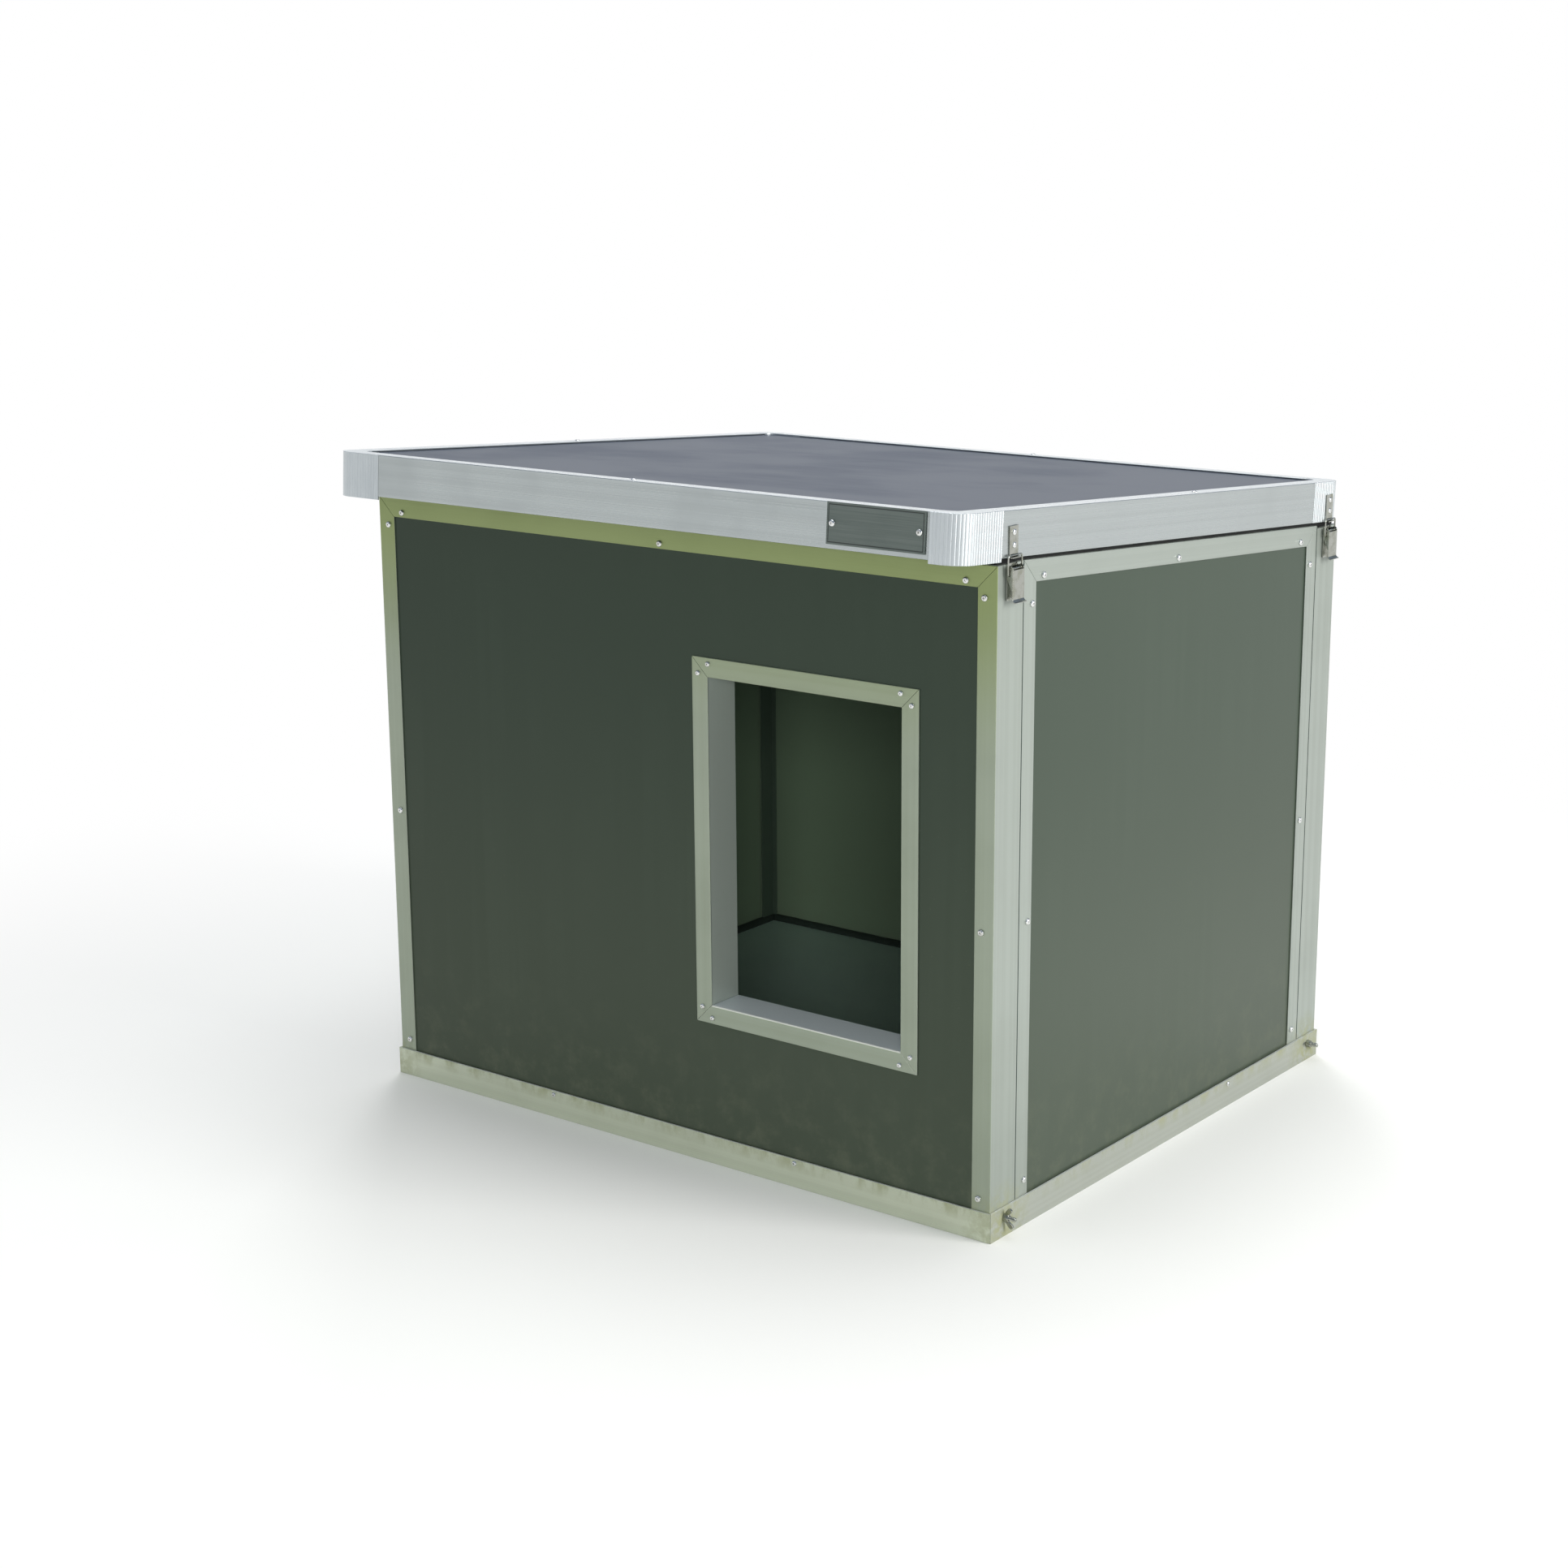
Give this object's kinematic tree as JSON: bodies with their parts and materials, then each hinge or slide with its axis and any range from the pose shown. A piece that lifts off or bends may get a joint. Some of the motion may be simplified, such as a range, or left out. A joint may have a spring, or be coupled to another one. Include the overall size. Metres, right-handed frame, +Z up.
{
  "type": "dog house",
  "caption": "Insulated dog house of dark sandwich panels in aluminium profiles, with an open doorway and a sloping lift-off roof held by toggle latches.",
  "frame": {"origin": "on the ground, under the middle of the whole house with its roof overhang", "axes": "+X to the right seen from the front, -Y out of the front wall with the doorway, +Z up"},
  "size_m": [1.04, 0.936, 0.8937],
  "materials": {
    "wall_laminate": "satin anthracite laminate skin with a faint waviness and soft reflections",
    "roof_laminate": "semi-gloss grey laminate with fine scratches and dust streaks",
    "floor_laminate": "matt dark laminate, lightly dusty",
    "aluminium_profile": "natural anodised extrusion with fine lines along its length",
    "ribbed_aluminium": "natural anodised extrusion with upright ribs",
    "stainless_steel": "bright stainless steel",
    "seal_rubber": "matt black closed-cell rubber",
    "plate_metal": "blank dark grey metal plate with a darker border"
  },
  "bodies": {
    "house": {"base_angle_front": "aluminium_profile", "base_angle_right": "aluminium_profile", "base_angle_rear": "aluminium_profile", "base_angle_left": "aluminium_profile", "floor_panel": "floor_laminate", "front_wall_panel": "wall_laminate", "front_wall_profile_left": "aluminium_profile", "front_wall_profile_right": "aluminium_profile", "front_wall_profile_top": "aluminium_profile", "rear_wall_panel": "wall_laminate", "rear_wall_profile_left": "aluminium_profile", "rear_wall_profile_right": "aluminium_profile", "rear_wall_profile_top": "aluminium_profile", "left_wall_panel": "wall_laminate", "left_wall_profile_left": "aluminium_profile", "left_wall_profile_right": "aluminium_profile", "left_wall_profile_top": "aluminium_profile", "right_wall_panel": "wall_laminate", "right_wall_profile_left": "aluminium_profile", "right_wall_profile_right": "aluminium_profile", "right_wall_profile_top": "aluminium_profile", "door_trim_bottom": "aluminium_profile", "door_trim_right": "aluminium_profile", "door_trim_top": "aluminium_profile", "door_trim_left": "aluminium_profile", "roof_seal": "seal_rubber", "latch_base_front_right": "stainless_steel", "latch_base_rear_right": "stainless_steel", "latch_base_rear_left": "stainless_steel", "latch_base_front_left": "stainless_steel", "base_stud_front_right": "stainless_steel", "base_stud_rear_right": "stainless_steel", "base_stud_rear_left": "stainless_steel", "base_stud_front_left": "stainless_steel"},
    "roof": {"roof_panel": "roof_laminate", "roof_profile_front": "aluminium_profile", "roof_profile_right": "aluminium_profile", "roof_profile_rear": "aluminium_profile", "roof_profile_left": "aluminium_profile", "roof_corner_front_right": "ribbed_aluminium", "roof_corner_rear_right": "ribbed_aluminium", "roof_corner_rear_left": "ribbed_aluminium", "roof_corner_front_left": "ribbed_aluminium", "name_plate": "plate_metal", "latch_catch_front_right": "stainless_steel", "latch_catch_rear_right": "stainless_steel", "latch_catch_rear_left": "stainless_steel", "latch_catch_front_left": "stainless_steel"},
    "lever_front_right": {"latch_lever_front_right": "stainless_steel"},
    "lever_rear_right": {"latch_lever_rear_right": "stainless_steel"},
    "lever_rear_left": {"latch_lever_rear_left": "stainless_steel"},
    "lever_front_left": {"latch_lever_front_left": "stainless_steel"},
    "bail_front_right": {"latch_bail_front_right": "stainless_steel"},
    "bail_rear_right": {"latch_bail_rear_right": "stainless_steel"},
    "bail_rear_left": {"latch_bail_rear_left": "stainless_steel"},
    "bail_front_left": {"latch_bail_front_left": "stainless_steel"},
    "wing_nut_front_right": {"wing_nut_front_right": "stainless_steel"},
    "wing_nut_rear_right": {"wing_nut_rear_right": "stainless_steel"},
    "wing_nut_rear_left": {"wing_nut_rear_left": "stainless_steel"},
    "wing_nut_front_left": {"wing_nut_front_left": "stainless_steel"}
  },
  "joints": [
    {"name": "roof_lift", "type": "slide", "parent": "house", "child": "roof", "axis": [0, 0, 1], "range_m": [0, 0.3]},
    {"name": "lever_swing_front_right", "type": "hinge", "parent": "house", "child": "lever_front_right", "pos_m": [0.5065, -0.3595, 0.82], "axis": [0, -1, 0], "range_deg": [0, 110]},
    {"name": "lever_swing_rear_right", "type": "hinge", "parent": "house", "child": "lever_rear_right", "pos_m": [0.5065, 0.4259, 0.76508], "axis": [0, -1, 0], "range_deg": [0, 110]},
    {"name": "lever_swing_rear_left", "type": "hinge", "parent": "house", "child": "lever_rear_left", "pos_m": [-0.5065, 0.4259, 0.76508], "axis": [0, 1, 0], "range_deg": [0, 110]},
    {"name": "lever_swing_front_left", "type": "hinge", "parent": "house", "child": "lever_front_left", "pos_m": [-0.5065, -0.3595, 0.82], "axis": [0, 1, 0], "range_deg": [0, 110]},
    {"name": "bail_swing_front_right", "type": "hinge", "parent": "lever_front_right", "child": "bail_front_right", "pos_m": [0.5055, -0.3595, 0.813], "axis": [0, -1, 0], "range_deg": [-110, 0]},
    {"name": "bail_swing_rear_right", "type": "hinge", "parent": "lever_rear_right", "child": "bail_rear_right", "pos_m": [0.5055, 0.4259, 0.75808], "axis": [0, -1, 0], "range_deg": [-110, 0]},
    {"name": "bail_swing_rear_left", "type": "hinge", "parent": "lever_rear_left", "child": "bail_rear_left", "pos_m": [-0.5055, 0.4259, 0.75808], "axis": [0, 1, 0], "range_deg": [-110, 0]},
    {"name": "bail_swing_front_left", "type": "hinge", "parent": "lever_front_left", "child": "bail_front_left", "pos_m": [-0.5055, -0.3595, 0.813], "axis": [0, 1, 0], "range_deg": [-110, 0]},
    {"name": "wing_nut_turn_front_right", "type": "hinge", "parent": "house", "child": "wing_nut_front_right", "pos_m": [0.507, -0.3595, 0.025], "axis": [1, 0, 0], "continuous": true},
    {"name": "wing_nut_turn_rear_right", "type": "hinge", "parent": "house", "child": "wing_nut_rear_right", "pos_m": [0.507, 0.4259, 0.025], "axis": [1, 0, 0], "continuous": true},
    {"name": "wing_nut_turn_rear_left", "type": "hinge", "parent": "house", "child": "wing_nut_rear_left", "pos_m": [-0.507, 0.4259, 0.025], "axis": [-1, 0, 0], "continuous": true},
    {"name": "wing_nut_turn_front_left", "type": "hinge", "parent": "house", "child": "wing_nut_front_left", "pos_m": [-0.507, -0.3595, 0.025], "axis": [-1, 0, 0], "continuous": true}
  ],
  "couplings": [
    {"joint": "bail_swing_front_right", "follows": "lever_swing_front_right", "ratio": -1},
    {"joint": "bail_swing_rear_right", "follows": "lever_swing_rear_right", "ratio": -1},
    {"joint": "bail_swing_rear_left", "follows": "lever_swing_rear_left", "ratio": -1},
    {"joint": "bail_swing_front_left", "follows": "lever_swing_front_left", "ratio": -1}
  ]
}
